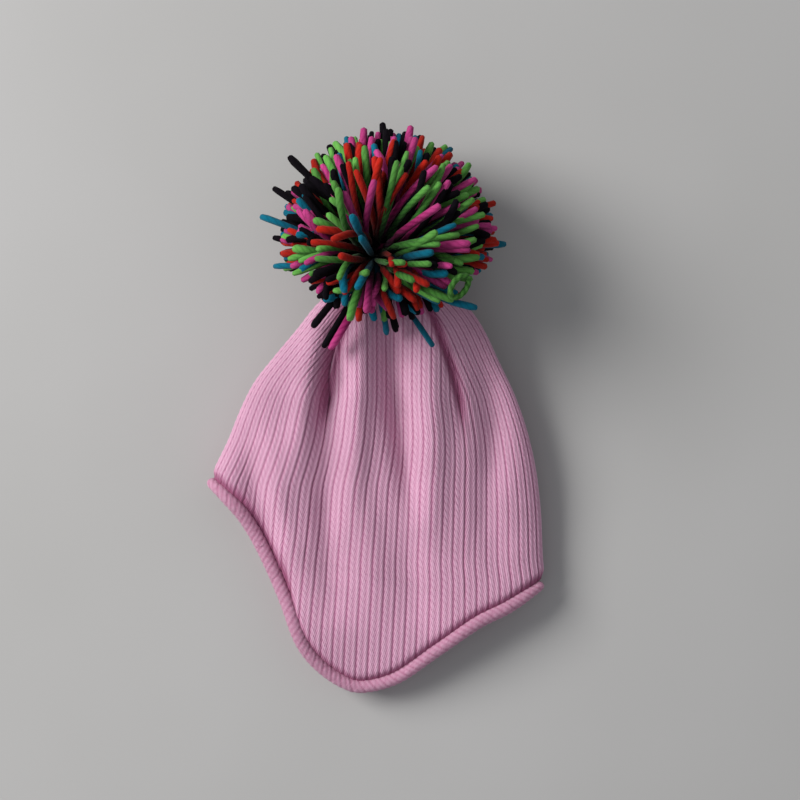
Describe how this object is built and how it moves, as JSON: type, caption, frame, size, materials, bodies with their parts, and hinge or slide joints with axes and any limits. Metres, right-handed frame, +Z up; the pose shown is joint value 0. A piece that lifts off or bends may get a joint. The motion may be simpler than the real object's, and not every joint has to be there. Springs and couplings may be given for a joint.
{
  "type": "knitted ear-flap hat with pom pom",
  "caption": "Child's knitted ear-flap hat in pink with a multicolour yarn pom pom, lying flat on its side; the pom pom tips and swings and the ear flaps fold up.",
  "frame": {"origin": "bottom centre of the whole hat as it lies on its side", "axes": "+X from forehead fold to back fold, +Y from ear flaps to pom pom, +Z up from the surface it lies on"},
  "size_m": [0.2078, 0.3404, 0.114],
  "materials": {
    "pink_knit": "soft matt wool knit, pastel pink",
    "pink_edging_knit": "soft matt wool knit, rolled edge",
    "pink_seam_yarn": "soft matt wool yarn",
    "black_tie_yarn": "matt twisted yarn",
    "pink_strand_yarn": "cut plied yarn, magenta pink",
    "red_strand_yarn": "cut plied yarn, red",
    "green_strand_yarn": "cut plied yarn, lime green",
    "teal_strand_yarn": "cut plied yarn, teal",
    "black_strand_yarn": "cut plied yarn, near black"
  },
  "bodies": {
    "hat": {"front_gore": "pink_knit", "near_side_gore": "pink_knit", "far_side_gore": "pink_knit", "near_back_gore": "pink_knit", "far_back_gore": "pink_knit", "back_seam": "pink_seam_yarn", "near_front_dart_seam": "pink_seam_yarn", "far_front_dart_seam": "pink_seam_yarn", "near_back_dart_seam": "pink_seam_yarn", "far_back_dart_seam": "pink_seam_yarn", "crown_tip": "pink_knit", "crown_gather_yarn": "pink_seam_yarn", "inside_knot": "black_tie_yarn", "knot_tails": "black_tie_yarn", "anchor_stitch": "black_tie_yarn", "forehead_rim_band": "pink_edging_knit", "back_rim_band": "pink_edging_knit"},
    "tie_loop": {"hanging_loop": "black_tie_yarn"},
    "pom_pom": {"pom_pink_strands": "pink_strand_yarn", "pom_black_strands": "black_strand_yarn", "pom_red_strands": "red_strand_yarn", "pom_green_strands": "green_strand_yarn", "pom_teal_strands": "teal_strand_yarn", "pom_centre_tie": "black_tie_yarn", "uncut_green_loop": "green_strand_yarn"},
    "near_flap": {"near_ear_flap": "pink_knit", "near_flap_rim_band": "pink_edging_knit"},
    "far_flap": {"far_ear_flap": "pink_knit", "far_flap_rim_band": "pink_edging_knit"}
  },
  "joints": [
    {"name": "pom_swing", "type": "hinge", "parent": "hat", "child": "tie_loop", "pos_m": [0.00718, 0.09324, 0.046], "axis": [0, 0, 1], "range_deg": [-25, 25]},
    {"name": "pom_tilt", "type": "hinge", "parent": "tie_loop", "child": "pom_pom", "pos_m": [0.00718, 0.09724, 0.046], "axis": [1, 0, 0], "range_deg": [-25, 25]},
    {"name": "near_flap_fold", "type": "hinge", "parent": "hat", "child": "near_flap", "pos_m": [0.0047, -0.10209, 0.0305], "axis": [-0.9723, 0.2338, 0], "range_deg": [0, 150]},
    {"name": "far_flap_fold", "type": "hinge", "parent": "hat", "child": "far_flap", "pos_m": [0.0047, -0.10209, -0.0005], "axis": [0.9723, -0.2338, 0], "range_deg": [0, 150]}
  ]
}
